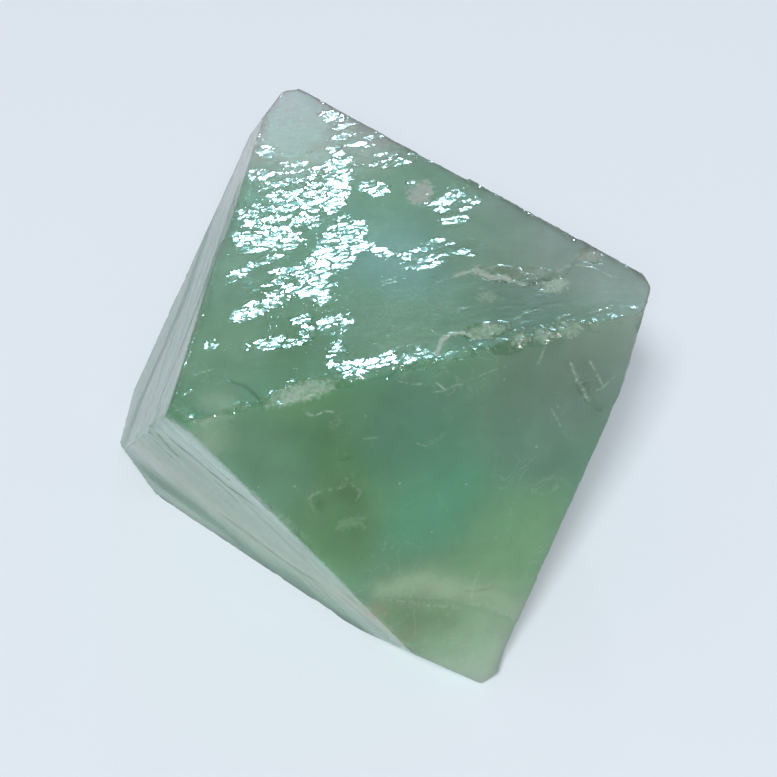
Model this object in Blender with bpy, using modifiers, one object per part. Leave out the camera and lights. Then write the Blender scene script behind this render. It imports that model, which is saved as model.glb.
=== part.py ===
"""A cleaved fluorite octahedron that lies on one of its eight faces.

The crystal is one solid. Its eight faces follow fluorite's octahedral cleavage, each at its own
distance from the centre, because a cleaved octahedron is never quite regular. Its corners are
broken off, its ridges are slightly blunt, thin cleavage ledges step down on its faces, and shallow
chips are missing along its ridges. Lengths are in metres, angles in degrees and +Z is up.
"""

import math
import random
from collections import namedtuple

import bmesh
import bpy
from mathutils import Matrix, Vector, noise

# Driving dimensions of the ideal octahedron
EDGE = 0.030
FACE_DISTANCE = EDGE / math.sqrt(6)
HALF_DIAGONAL = EDGE / math.sqrt(2)
BLANK_SIZE = 4 * EDGE
WELD_DISTANCE = 1e-6
RIDGE_BLUNTING = 0.00012

# A plane that bounds the crystal: the azimuth from +X and the elevation of its outward normal,
# and its distance from the crystal's centre
Plane = namedtuple("Plane", "azimuth elevation distance")

CLEAVAGE_FACES = {
    "top": Plane(94, 88.1, 0.899 * FACE_DISTANCE),
    "bottom": Plane(0, -90, 0.878 * FACE_DISTANCE),
    "front": Plane(-69.5, 20.7, 1.052 * FACE_DISTANCE),
    "left": Plane(171.1, 21.5, 1.027 * FACE_DISTANCE),
    "back_right": Plane(52.6, 19.5, 1.000 * FACE_DISTANCE),
    "front_left": Plane(-127.5, -19.6, 1.026 * FACE_DISTANCE),
    "right": Plane(-7.7, -18.5, 1.046 * FACE_DISTANCE),
    "back": Plane(109.6, -17.6, 1.076 * FACE_DISTANCE),
}

# Where the corners and the ridges beside them broke off
BREAKS = {
    "far_corner": Plane(156, 27, 0.718 * HALF_DIAGONAL),
    "far_corner_tip": Plane(107, 38, 0.904 * HALF_DIAGONAL),
    "right_corner": Plane(-14, -5.6, 0.718 * HALF_DIAGONAL),
    "right_corner_tip": Plane(18, 23, 0.853 * HALF_DIAGONAL),
    "front_corner": Plane(-52, -27.6, 0.928 * HALF_DIAGONAL),
    "front_foot": Plane(-116.6, -33, 0.688 * HALF_DIAGONAL),
    "left_foot": Plane(-147, -19, 0.712 * HALF_DIAGONAL),
    "left_corner": Plane(174, 13, 0.665 * HALF_DIAGONAL),
    "near_corner": Plane(-127, 28, 0.952 * HALF_DIAGONAL),
    "back_corner": Plane(46, -24, 0.900 * HALF_DIAGONAL),
}
PLANES = {**CLEAVAGE_FACES, **BREAKS}

# A thin layer that came off part of a face. Each rim is a turn in the face, from its horizontal
# towards its slope, and a distance from the face's middle. The layer is gone beyond every rim.
Ledge = namedtuple("Ledge", "face depth rims")

LEDGES = [
    Ledge("left", 0.00020, [(-117, -0.0063)]),
    Ledge("front_left", 0.00016, [(-122, -0.0040)]),
    Ledge("front", 0.00014, [(-108, 0.0084), (-124, 0.0074)]),
    Ledge("back_right", 0.00022, [(28, 0.0032)]),
    Ledge("back_right", 0.00016, [(-95, 0.0058), (-40, -0.0020)]),
    Ledge("back", 0.00024, [(62, 0.0015), (140, -0.0060)]),
    Ledge("back", 0.00018, [(-60, 0.0046)]),
    Ledge("right", 0.00022, [(115, 0.0008)]),
    Ledge("right", 0.00016, [(-20, 0.0052), (-92, -0.0035)]),
]
RISER_LEAN = 19.5

# A shallow hollow in a face, where a flake popped out: its middle in the face's own axes, its
# size, and the turn of its long side
Pit = namedtuple("Pit", "face across up length width depth turn")

PITS = [
    Pit("top", -0.0084, 0.0022, 0.0050, 0.0014, 0.00022, -5),
    Pit("top", -0.0061, 0.0068, 0.0027, 0.0014, 0.00026, 4),
    Pit("top", -0.0031, -0.0052, 0.0028, 0.0014, 0.00010, 110),
    Pit("top", -0.0130, 0.0007, 0.0018, 0.0012, 0.00010, -30),
    Pit("front", 0.0096, 0.0030, 0.0034, 0.0011, 0.00010, 115),
    Pit("back_right", -0.0040, -0.0020, 0.0042, 0.0016, 0.00020, 40),
    Pit("back", 0.0030, 0.0060, 0.0034, 0.0017, 0.00022, -25),
    Pit("right", -0.0020, 0.0070, 0.0030, 0.0013, 0.00018, 60),
]

# A chip out of the ridge between two faces: where it is along the ridge, measured from the
# ridge's middle as a share of half the edge, its size, and how far it leans over the first face,
# from 0, even, to 1, flat along that face
Chip = namedtuple("Chip", "faces place length width depth lean")

CHIPS = [
    Chip(("top", "front"), -0.78, 0.0020, 0.0012, 0.00022, 0.3),
    Chip(("top", "front"), -0.53, 0.0040, 0.0025, 0.00034, 0.6),
    Chip(("top", "front"), -0.33, 0.0027, 0.0018, 0.00028, 0.5),
    Chip(("top", "front"), -0.17, 0.0030, 0.0017, 0.00028, 0.6),
    Chip(("top", "front"), -0.02, 0.0022, 0.0014, 0.00022, 0.4),
    Chip(("top", "front"), 0.17, 0.0026, 0.0015, 0.00024, 0.2),
    Chip(("top", "front"), 0.33, 0.0030, 0.0020, 0.00034, -0.3),
    Chip(("top", "front"), 0.47, 0.0024, 0.0017, 0.00030, -0.4),
    Chip(("top", "front"), 0.62, 0.0030, 0.0020, 0.00028, 0.3),
    Chip(("top", "back_right"), 0.20, 0.0022, 0.0012, 0.00018, 0.4),
    Chip(("top", "left"), -0.62, 0.0024, 0.0013, 0.00022, 0.0),
    Chip(("front", "right"), -0.30, 0.0026, 0.0014, 0.00020, 0.0),
    Chip(("front", "right"), 0.44, 0.0020, 0.0012, 0.00022, 0.3),
    Chip(("front", "right_corner"), 0.72, 0.0018, 0.0014, 0.00034, -0.3),
    Chip(("front", "front_left"), -0.45, 0.0024, 0.0012, 0.00018, 0.0),
    Chip(("front", "front_left"), 0.58, 0.0022, 0.0013, 0.00022, 0.2),
    Chip(("left", "front_left"), 0.10, 0.0030, 0.0014, 0.00026, 0.0),
    Chip(("left", "back"), 0.15, 0.0034, 0.0017, 0.00034, 0.3),
    Chip(("left", "back"), -0.55, 0.0024, 0.0013, 0.00024, -0.2),
    Chip(("back_right", "back"), 0.30, 0.0036, 0.0018, 0.00036, 0.4),
    Chip(("back_right", "back"), 0.44, 0.0022, 0.0013, 0.00026, -0.3),
    Chip(("back_right", "right"), -0.20, 0.0030, 0.0016, 0.00032, 0.3),
    Chip(("back_right", "right"), 0.48, 0.0024, 0.0014, 0.00026, 0.0),
    Chip(("front_left", "bottom"), 0.25, 0.0032, 0.0015, 0.00028, 0.4),
    Chip(("right", "bottom"), -0.10, 0.0034, 0.0016, 0.00032, 0.5),
    Chip(("right", "bottom"), 0.50, 0.0022, 0.0012, 0.00024, 0.0),
    Chip(("back", "bottom"), 0.05, 0.0038, 0.0018, 0.00036, 0.4),
]

# Small nicks along every ridge
RIDGES = [
    ("top", "front"),
    ("top", "back_right"),
    ("top", "left"),
    ("front", "right"),
    ("front", "front_left"),
    ("left", "front_left"),
    ("left", "back"),
    ("back_right", "back"),
    ("back_right", "right"),
    ("front_left", "bottom"),
    ("right", "bottom"),
    ("back", "bottom"),
]
NICKS_PER_RIDGE = 3
NICK_SEED = 7
NICK_REACH = 0.78
NICK_LENGTH = (0.0007, 0.0016)
NICK_SLENDERNESS = 0.6
NICK_DEPTH = (0.00010, 0.00018)
NICK_LEAN = 0.4

# A flake's cutter is a flattened, uneven ball whose middle is held above the surface
CUTTER_LIFT = 0.4
CUTTER_UNEVENNESS = 0.28
CUTTER_GRAIN = 1.3
CUTTER_SPREAD = 900
CUTTER_DETAIL = 2


def direction(azimuth, elevation):
    """The unit vector at an azimuth from +X and an elevation above the horizon."""
    turn = math.radians(azimuth)
    rise = math.radians(elevation)
    return Vector(
        (math.cos(turn) * math.cos(rise), math.sin(turn) * math.cos(rise), math.sin(rise))
    )


def clear_scene():
    """Removes what the opening file holds."""
    for thing in list(bpy.data.objects):
        bpy.data.objects.remove(thing)


def new_collection(name):
    """A collection linked to the scene."""
    collection = bpy.data.collections.new(name)
    bpy.context.scene.collection.children.link(collection)
    return collection


def cleave(mesh, normal, distance):
    """Keeps the part of a convex mesh that lies within distance of the centre along normal."""
    cut = bmesh.ops.bisect_plane(
        mesh,
        geom=mesh.verts[:] + mesh.edges[:] + mesh.faces[:],
        plane_co=normal * distance,
        plane_no=normal,
        clear_outer=True,
    )
    rim = [piece for piece in cut["geom_cut"] if isinstance(piece, bmesh.types.BMEdge)]
    bmesh.ops.edgeloop_fill(mesh, edges=rim)


def convex_mesh(half_spaces):
    """A block cut down to what lies inside every (normal, distance) plane."""
    mesh = bmesh.new()
    bmesh.ops.create_cube(mesh, size=BLANK_SIZE)
    for normal, distance in half_spaces:
        cleave(mesh, normal, distance)
    bmesh.ops.remove_doubles(mesh, verts=mesh.verts[:], dist=WELD_DISTANCE)
    bmesh.ops.recalc_face_normals(mesh, faces=mesh.faces[:])
    return mesh


def add_object(mesh, name, collection):
    """An object in the collection, made from a bmesh."""
    data = bpy.data.meshes.new(name)
    mesh.to_mesh(data)
    mesh.free()
    thing = bpy.data.objects.new(name, data)
    collection.objects.link(thing)
    return thing


def add_cutter(mesh, name, collection):
    """A cutter, drawn as wire and left out of renders."""
    cutter = add_object(mesh, name, collection)
    cutter.hide_render = True
    cutter.display_type = "WIRE"
    return cutter


def face_axes(plane):
    """A face's middle, its horizontal, its upward slope and its outward normal."""
    normal = direction(plane.azimuth, plane.elevation)
    across = direction(plane.azimuth + 90, 0)
    return normal * plane.distance, across, normal.cross(across), normal


def ridge_axes(plane_a, plane_b):
    """The middle of the ridge where two planes meet, its direction and the planes' normals."""
    normal_a = direction(plane_a.azimuth, plane_a.elevation)
    normal_b = direction(plane_b.azimuth, plane_b.elevation)
    along = normal_a.cross(normal_b).normalized()
    rows = Matrix((normal_a, normal_b, along))
    middle = rows.inverted() @ Vector((plane_a.distance, plane_b.distance, 0))
    return middle, along, (normal_a, normal_b)


def ledge_mesh(ledge):
    """The block that takes a thin layer off part of a face, with risers that lean outward."""
    plane = CLEAVAGE_FACES[ledge.face]
    middle, across, up, normal = face_axes(plane)
    half_spaces = [(-normal, ledge.depth - plane.distance)]
    lean = math.radians(RISER_LEAN)
    for turn, distance in ledge.rims:
        outward = across * math.cos(math.radians(turn)) + up * math.sin(math.radians(turn))
        riser = outward * math.cos(lean) + normal * math.sin(lean)
        half_spaces.append((-riser, -riser.dot(middle + outward * distance)))
    return convex_mesh(half_spaces)


def flake_mesh(place, along, normal, length, width, depth):
    """The flattened ball that pops a flake of a given length, width and depth out of a surface."""
    side = normal.cross(along)
    thickness = depth / (1 - CUTTER_LIFT)
    footprint = math.sqrt(1 - CUTTER_LIFT**2)
    turn = Matrix((along, side, normal)).transposed().to_4x4()
    stretch = Matrix.Diagonal((length / 2 / footprint, width / 2 / footprint, thickness, 1))
    lift = Matrix.Translation(place + normal * CUTTER_LIFT * thickness)
    mesh = bmesh.new()
    bmesh.ops.create_icosphere(mesh, subdivisions=CUTTER_DETAIL, radius=1)
    for vertex in mesh.verts:
        swell = noise.noise(vertex.co * CUTTER_GRAIN + place * CUTTER_SPREAD)
        vertex.co *= 1 + CUTTER_UNEVENNESS * swell
    bmesh.ops.transform(mesh, matrix=lift @ turn @ stretch, verts=mesh.verts)
    return mesh


def pit_mesh(pit):
    """The cutter of a hollow in a face."""
    middle, across, up, normal = face_axes(CLEAVAGE_FACES[pit.face])
    turn = math.radians(pit.turn)
    along = across * math.cos(turn) + up * math.sin(turn)
    place = middle + across * pit.across + up * pit.up
    return flake_mesh(place, along, normal, pit.length, pit.width, pit.depth)


def chip_mesh(chip):
    """The cutter of a chip in a ridge."""
    middle, along, normals = ridge_axes(*[PLANES[name] for name in chip.faces])
    normal = (normals[0] * (1 + chip.lean) + normals[1] * (1 - chip.lean)).normalized()
    place = middle + along * chip.place * EDGE / 2
    return flake_mesh(place, along, normal, chip.length, chip.width, chip.depth)


def nicks():
    """Small chips scattered along every ridge."""
    draw = random.Random(NICK_SEED)
    for faces in RIDGES:
        for number in range(NICKS_PER_RIDGE):
            slot = (number + draw.random()) / NICKS_PER_RIDGE
            length = draw.uniform(*NICK_LENGTH)
            depth = draw.uniform(*NICK_DEPTH)
            width = NICK_SLENDERNESS * length
            lean = draw.uniform(-NICK_LEAN, NICK_LEAN)
            yield Chip(faces, NICK_REACH * (2 * slot - 1), length, width, depth, lean)


def add_cutters(collection):
    """The cutters of every ledge, pit, chip and nick."""
    for number, ledge in enumerate(LEDGES):
        add_cutter(ledge_mesh(ledge), f"ledge_cutter_{number}", collection)
    for number, pit in enumerate(PITS):
        add_cutter(pit_mesh(pit), f"pit_cutter_{number}", collection)
    for number, chip in enumerate(CHIPS):
        add_cutter(chip_mesh(chip), f"chip_cutter_{number}", collection)
    for number, nick in enumerate(nicks()):
        add_cutter(chip_mesh(nick), f"nick_cutter_{number}", collection)


def crystal_material():
    """Cloudy green fluorite, clear enough to see into."""
    material = bpy.data.materials.new("green_fluorite")
    material.use_nodes = True
    shader = material.node_tree.nodes["Principled BSDF"]
    shader.inputs["Base Color"].default_value = (0.20, 0.46, 0.30, 1.0)
    shader.inputs["Roughness"].default_value = 0.25
    shader.inputs["Metallic"].default_value = 0.0
    shader.inputs["IOR"].default_value = 1.434
    shader.inputs["Transmission Weight"].default_value = 0.8
    return material


def blunt_ridges(crystal):
    """Takes the sharpness off the ridges."""
    bevel = crystal.modifiers.new("blunt_ridges", "BEVEL")
    bevel.width = RIDGE_BLUNTING
    bevel.segments = 1
    bevel.limit_method = "ANGLE"


def cut_away(crystal, cutters):
    """Takes the cutters' shapes out of the crystal."""
    cut = crystal.modifiers.new("breakage", "BOOLEAN")
    cut.operation = "DIFFERENCE"
    cut.operand_type = "COLLECTION"
    cut.collection = cutters
    cut.solver = "EXACT"


def stand(crystal, parts, cutters):
    """Moves the crystal, with its cutters, so that its box's bottom has its middle at the origin."""
    shape = crystal.evaluated_get(bpy.context.evaluated_depsgraph_get()).to_mesh()
    spans = [[vertex.co[axis] for vertex in shape.vertices] for axis in range(3)]
    low = [min(span) for span in spans]
    high = [max(span) for span in spans]
    centre = bpy.data.objects.new("crystal_centre", None)
    centre.location = (-(low[0] + high[0]) / 2, -(low[1] + high[1]) / 2, -low[2])
    parts.objects.link(centre)
    for thing in [crystal, *cutters.objects]:
        thing.parent = centre


def build():
    """Models the crystal in its own collection, with its cutters in another."""
    clear_scene()
    parts = new_collection("fluorite_octahedron")
    cutters = new_collection("cutters")
    half_spaces = [
        (direction(plane.azimuth, plane.elevation), plane.distance) for plane in PLANES.values()
    ]
    crystal = add_object(convex_mesh(half_spaces), "fluorite_octahedron", parts)
    crystal.data.materials.append(crystal_material())
    add_cutters(cutters)
    blunt_ridges(crystal)
    cut_away(crystal, cutters)
    stand(crystal, parts, cutters)


build()
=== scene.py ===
"""The looks of a cleaved fluorite octahedron that lies on one of its eight faces.

The crystal's skin is one closed mesh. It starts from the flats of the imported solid, fills them with
even triangles, and then sinks them into the fine steps, plates and crumbled chips of a cleaved
surface. Lengths are in metres where no comment gives millimetres, angles are in degrees, +Z is up,
and the view is along +Y.
"""

import math
from collections import namedtuple

import bmesh
import bpy
import numpy as np
from mathutils import Matrix, Vector, kdtree, noise
from mathutils.geometry import delaunay_2d_cdt


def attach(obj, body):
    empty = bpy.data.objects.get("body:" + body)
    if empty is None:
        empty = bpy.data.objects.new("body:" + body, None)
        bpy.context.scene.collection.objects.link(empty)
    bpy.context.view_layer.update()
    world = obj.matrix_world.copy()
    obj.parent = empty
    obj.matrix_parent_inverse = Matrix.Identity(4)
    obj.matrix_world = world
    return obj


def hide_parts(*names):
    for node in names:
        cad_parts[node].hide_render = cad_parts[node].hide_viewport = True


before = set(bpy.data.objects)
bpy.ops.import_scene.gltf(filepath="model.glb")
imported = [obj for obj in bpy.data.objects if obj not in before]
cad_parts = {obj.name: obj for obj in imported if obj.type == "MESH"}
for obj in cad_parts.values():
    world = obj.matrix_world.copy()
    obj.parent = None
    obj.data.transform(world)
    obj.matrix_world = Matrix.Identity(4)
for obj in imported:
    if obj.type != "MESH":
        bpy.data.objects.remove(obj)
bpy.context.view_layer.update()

MM = 0.001

# The crystal's centre, the edge of the regular octahedron that it is close to, and for each face its
# outward direction and its share of that octahedron's face distance
CENTRE = Vector((0.00007, 0.00015, 0.01075))
EDGE = 0.030
FACE_DISTANCE = EDGE / math.sqrt(6)
FACES = {
    "top": (94, 88.1, 0.899),
    "bottom": (0, -90, 0.878),
    "front": (-69.5, 20.7, 1.052),
    "left": (171.1, 21.5, 1.027),
    "back_right": (52.6, 19.5, 1.000),
    "front_left": (-127.5, -19.6, 1.026),
    "right": (-7.7, -18.5, 1.046),
    "back": (109.6, -17.6, 1.076),
}

# The size of the triangles on each face that shows, on the others, inside the chips and on the lines
GRAIN = {"top": 0.000115, "front": 0.00016, "left": 0.00025, "front_left": 0.00025}
HIDDEN_GRAIN = 0.00038
CHIP_GRAIN = 0.00017
LINE_GRAIN = 0.00007

# How far the triangles' corners stray from even rows and keep from a side, as shares of their size,
# the rows on each side of a line, and the seed of the draws
STRAY = 0.18
KEEP_OFF = 0.6
LINE_ROWS = 2
DRAW_SEED = 5

# How near points count as one, in metres when the solid is welded and in millimetres in a flat
WELD_GAP = 1e-6
FLAT_GAP = 1e-7

# The triangulation that keeps only what lies inside the outline
INSIDE_ONLY = 1

# How far a flat may tilt from its face, up to what bend an edge is dissolved, and from what bend one
# is shaded sharp
FLAT_TILT = 2.5
DISSOLVE_ANGLE = 0.6
SHARP_ANGLE = 9

# The relief of each face, in millimetres and degrees. The cleavage runs along the ridge that the
# face shares with its partner. Swell is a slow waviness, and terrace the height of the steps along
# the cleavage. Plates are small flats drawn out along it, each with a lean of its own: their length,
# width, lean and step.
Plates = namedtuple("Plates", "length width lean step")
Relief = namedtuple("Relief", "partner swell large small terrace")
TOP_PLATES = (Plates(1.2, 0.4, 1.8, 0.003), Plates(0.4, 0.25, 2.4, 0.002))
FRONT_PLATES = (Plates(2.6, 1.3, 1, 0.004), Plates(0.7, 0.35, 1, 0.001))
SLIVER_PLATES = (Plates(5, 0.9, 0.7, 0.006), Plates(2.2, 0.4, 0.6, 0.002))
HIDDEN_PLATES = (Plates(3, 1, 2, 0.01), Plates(1.2, 0.5, 3, 0.004))
BOTTOM_PLATES = (Plates(3, 1, 1, 0.006), Plates(1.2, 0.5, 1.5, 0.002))
RELIEF = {
    "top": Relief("front", 0.035, *TOP_PLATES, 0.004),
    "front": Relief("top", 0.03, *FRONT_PLATES, 0.006),
    "left": Relief("top", 0.03, *SLIVER_PLATES, 0.022),
    "front_left": Relief("front", 0.03, *SLIVER_PLATES, 0.022),
    "back_right": Relief("top", 0.03, *HIDDEN_PLATES, 0.025),
    "right": Relief("front", 0.03, *HIDDEN_PLATES, 0.025),
    "back": Relief("left", 0.03, *HIDDEN_PLATES, 0.025),
    "bottom": Relief("right", 0.02, *BOTTOM_PLATES, 0.01),
}

# The bends in the rows of plates: how far in millimetres, and how often in a millimetre
BEND_ALONG = (0.25, 1.1)
BEND_ACROSS = (0.10, 3.1)

# The swell: how much of it is left where the plates lie calm, and its length in millimetres
CALM_SWELL = 0.3
SWELL_LENGTH = 2.6

# The steps along the cleavage: how far apart they lie in millimetres, the share of each that slopes
# to the next, and how far they wander, in steps, over what length and width in millimetres
Wander = namedtuple("Wander", "amount length width")
STEP_SPACING = 0.9
STEP_SLOPE = 0.14
STEP_WANDERS = (Wander(0.5, 5, 2), Wander(0.12, 0.7, 0.7))

# How much a plate leans along the cleavage, as a share of its lean across it
ALONG_LEAN = 0.35

# Numbers that keep the noises unlike each other
FACE_SEED = 3.7
LARGE_SEED = 0.4
SMALL_SEED = 1.7
WANDER_SEED = 9
CRUMB_SEED = 5.5
SHARD_SEED = 8.5
LEAN_SEED = 517.0
GLINT_SEED = 311.0

# Marks on the faces. A place is in millimetres across the face and up it, from the point of the face
# that is nearest to the centre. A line is a crack or a small step: its points, half its width, how
# deep it is, and how frosted. A patch is a frosted spot: its middle, half its length and width, its
# turn in degrees, how deep it is, and how frosted. Less than nothing for frost makes it dark.
Line = namedtuple("Line", "face points width depth frost")
FACE_LINES = {
    "top": [
        ([(-3.6, 2.7), (-4.7, 2.25)], 0.07, 0.005, 0.9),
        ([(-4.7, 2.25), (-5.6, 1.75), (-6.1, 1.6)], 0.11, 0.005, 1.6),
        ([(-6, 1.6), (-6.4, 2), (-6.9, 2.3), (-7.6, 2.15), (-8, 2.5), (-8.7, 2.8)], 0.18, 0.01, 2.8),
        ([(-6.2, 1.6), (-7.4, 1.4), (-8.3, 1.6), (-9, 2)], 0.08, 0.02, 0.6),
        ([(-8.7, 3.1), (-9.6, 2.8), (-10.7, 2.1)], 0.07, 0.03, -0.3),
        ([(-10.7, 2.1), (-11.4, 1.6), (-12.2, 1.5), (-12.9, 1.8), (-13.3, 2),
          (-13.8, 2.6)], 0.08, 0.03, 0.8),
        ([(-3.2, 8.6), (-3.6, 7.5), (-4.1, 7), (-4.9, 6.9)], 0.11, 0.006, 2.4),
        ([(-5, 7), (-5.7, 7.3), (-6.6, 7.3)], 0.1, 0.006, 1.8),
        ([(-8, 6), (-8.5, 5.5), (-9.5, 5.2)], 0.06, 0.02, 0.8),
        ([(-10.1, 6.3), (-10.6, 5.7), (-11.1, 5.6)], 0.06, 0.02, 0.8),
        ([(-12.3, 5.5), (-13.7, 5)], 0.07, 0.025, 0.9),
        ([(-0.4, 2.6), (-1.2, 2.2)], 0.06, 0.02, 0.9),
        ([(-0.4, 2.9), (-1.2, 2.6)], 0.06, 0.02, 0.9),
        ([(8.5, 10.4), (7.8, 10.7), (7.3, 11.3), (6.9, 11.9), (6.5, 12.6)], 0.1, 0.03, -0.25),
        ([(10.5, 9.8), (10, 9.6), (9.5, 9.4)], 0.07, 0.02, 0.6),
        ([(11.3, 11.4), (10.7, 11)], 0.08, 0.02, 0.7),
        ([(11.6, 12.5), (11.1, 12.3)], 0.08, 0.02, 0.8),
    ],
    "front": [
        ([(-7.6, 6.3), (-7.2, 5.9), (-6.8, 5.8), (-6.3, 5.9), (-5.8, 5.7)], 0.07, 0.02, 0.8),
        ([(-6.1, 5.1), (-5.8, 4.7), (-5.5, 5)], 0.06, 0.02, 0.4),
        ([(-4.3, 3.5), (-3.5, 3.4)], 0.05, 0.02, 0.5),
        ([(-1.1, 2.3), (-0.6, 2)], 0.06, 0.01, 0.5),
        ([(-0.6, 2), (-0.1, 2.2), (0.6, 2.5)], 0.16, 0.005, 0.15),
        ([(2.8, 5.6), (3.4, 5.8), (4.1, 5.9), (4.6, 5.9)], 0.06, 0.02, 0.5),
        ([(0.1, 5.4), (0.7, 5.3), (1.5, 5.5), (2.2, 5.4)], 0.06, 0.02, 0.5),
        ([(-1.8, 6.6), (-1.1, 6.2), (-0.3, 6)], 0.06, 0.02, 0.8),
        ([(0.4, 5.9), (0.9, 5.3)], 0.06, 0.02, 0.8),
        ([(8.6, 5.1), (8.9, 4), (9.2, 3.2), (9.6, 2.3)], 0.08, 0.03, 0.7),
        ([(9.8, 4.8), (10.2, 3.8), (10.5, 3)], 0.06, 0.03, 0.9),
        ([(11.2, 3.4), (10.5, 2.9), (10.1, 2.8)], 0.06, 0.02, 0.7),
        ([(7.1, 6.6), (6.8, 5.9), (6.6, 5.5)], 0.06, 0.02, 0.6),
        ([(7.2, 2.4), (7.4, 1.8), (8, 0.3)], 0.07, 0.02, 0.5),
        ([(7.5, 2.6), (7.9, 1.8)], 0.05, 0.02, 0.6),
        ([(-7.9, 0.5), (-7.5, 0.8), (-6.6, 0.8), (-6, 0.7), (-5.5, 1.3),
          (-5.2, 1.4)], 0.12, 0.008, 0.36),
        ([(-6, 0.7), (-5.3, 0.8), (-4.8, 0.1), (-5.1, -0.4)], 0.1, 0.008, 0.3),
        ([(-7.5, 0.8), (-7.9, 0.1), (-7.6, -0.5)], 0.11, 0.008, 0.26),
        ([(-5.6, -1.6), (-5, -1.9), (-4.8, -2.3)], 0.14, 0.008, 0.22),
        ([(-4.8, -7.2), (-4.2, -7.6), (-3, -8.1), (-1.3, -9), (0.3, -9.5), (1.9, -9.7),
          (2.9, -10.6), (3.8, -11.5)], 0.16, 0.02, 0.3),
        ([(1.8, -7.4), (1.4, -8.2), (1.2, -9)], 0.1, 0.015, 0.45),
        ([(2.7, -8.7), (1.6, -8.7), (0.8, -8.5)], 0.1, 0.02, -0.15),
    ],
    "left": [
        ([(-6, 5.4), (0, 4.6), (6.1, 3.7), (7.7, 2.4), (9.2, 0.9), (11.3, 0.5)], 0.16, 0.06, -0.35),
        ([(-2, 6.9), (4, 5.8), (8, 3.9), (10.4, 2)], 0.14, 0.04, -0.2),
    ],
    "front_left": [
        ([(-2.3, 11.4), (-1.6, 11), (-0.7, 10.7), (0.6, 9.6)], 0.1, 0.04, -0.45),
        ([(-4.7, 8.6), (-3.3, 6.5), (-0.9, 5.3), (0.4, 4.2)], 0.1, 0.04, -0.3),
        ([(0.1, 10), (1.5, 9.1), (3.1, 8.7)], 0.12, 0.04, -0.5),
        ([(-3.6, 10.6), (-3.2, 9.1), (-2.8, 8.4)], 0.1, 0.04, -0.4),
        ([(0.1, 8.5), (0.6, 7.9), (1.4, 7)], 0.1, 0.03, -0.3),
        ([(5.6, 9.3), (6.1, 7.3), (7, 5.8)], 0.1, 0.04, -0.35),
        ([(-0.2, 13.6), (0.5, 12.3), (1.9, 10.8)], 0.1, 0.04, -0.4),
        ([(-2.1, 0), (0.5, -0.9), (2.7, -1.7), (4.9, -1.4)], 0.35, 0.05, -0.15),
        ([(0.9, 15), (3, 11.8), (5.1, 9), (7.9, 5.5), (10.3, 2.9)], 0.14, 0.02, 0.45),
    ],
}
LINES = [Line(face, *line) for face, lines in FACE_LINES.items() for line in lines]
Patch = namedtuple("Patch", "face across up length width turn depth frost")
PATCHES = [
    Patch("top", -3.1, -5.2, 1.1, 0.55, 60, 0.015, 1.5),
    Patch("top", -13, 0.7, 0.75, 0.4, 0, 0.01, 0.6),
    Patch("top", 4.6, 11.2, 1.7, 0.62, 20, 0.06, 0.65),
    Patch("top", -6.1, 6.7, 1.2, 0.45, 10, 0.05, 0.65),
    Patch("top", -10.5, 3.2, 0.8, 0.6, 20, 0.01, 0.9),
    Patch("top", -9.4, 2.1, 1.4, 0.45, 3, 0.03, 0.15),
    Patch("top", -6.5, 4, 0.6, 0.5, 0, 0.005, 0.45),
    Patch("top", -8.1, 7.3, 0.4, 0.5, 0, 0.05, 0.45),
    Patch("top", -9.4, 7.1, 0.5, 0.5, 0, 0.05, 0.45),
    Patch("top", -11, 6.7, 0.7, 0.45, 10, 0.05, 0.45),
    Patch("front", -5.6, -1.7, 0.8, 0.35, 0, 0.003, 0.2),
    Patch("top", 9.4, 12.2, 1, 0.8, 0, 0.006, 0.16),
]

# How often in a millimetre the slow and the fine noise change, which make the marks uneven
SLOW_NOISE = 0.6
FINE_NOISE = 4.5

# How far from its face's plane a mark reaches, in millimetres
MARK_REACH = 0.5

# Patches: how softly they end, and how ragged the slow and the fine noise make them
PATCH_SOFT = 0.5
PATCH_RAGGED = (0.35, 0.7)

# Lines: how far they waver in millimetres, how much the fine noise thins them, and how whole and how
# uneven the faint ones and the others are
WAVER = 0.10
THINNING = 2.5
FAINT_LINE = (0.65, 1.8)
STRONG_LINE = (0.95, 0.8)

# Middle lines that a stain or a band of painted shade shares with a dull band
LEFT_UPPER_RIM = [(0.3, 8.2), (6, 9), (12, 9.8), (13.9, 8.1), (14.4, 7)]
LEFT_LOWER_RIM = [(4.1, -9.2), (1.5, -8.6), (-0.3, -5.9), (-3.4, -3.1), (-8.8, -2), (-11.9, 0.9)]
LEFT_CLOUD = [(-4, 7), (0, 6.5), (4, 6.5)]
FRONT_LEFT_RIM = [(-10.5, -0.2), (-8.7, -2.6), (-6, -2.9), (-4, -3.8), (-1, -5.7), (3, -5.7),
                  (6.8, -6.9), (10.9, -3.4)]
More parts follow.
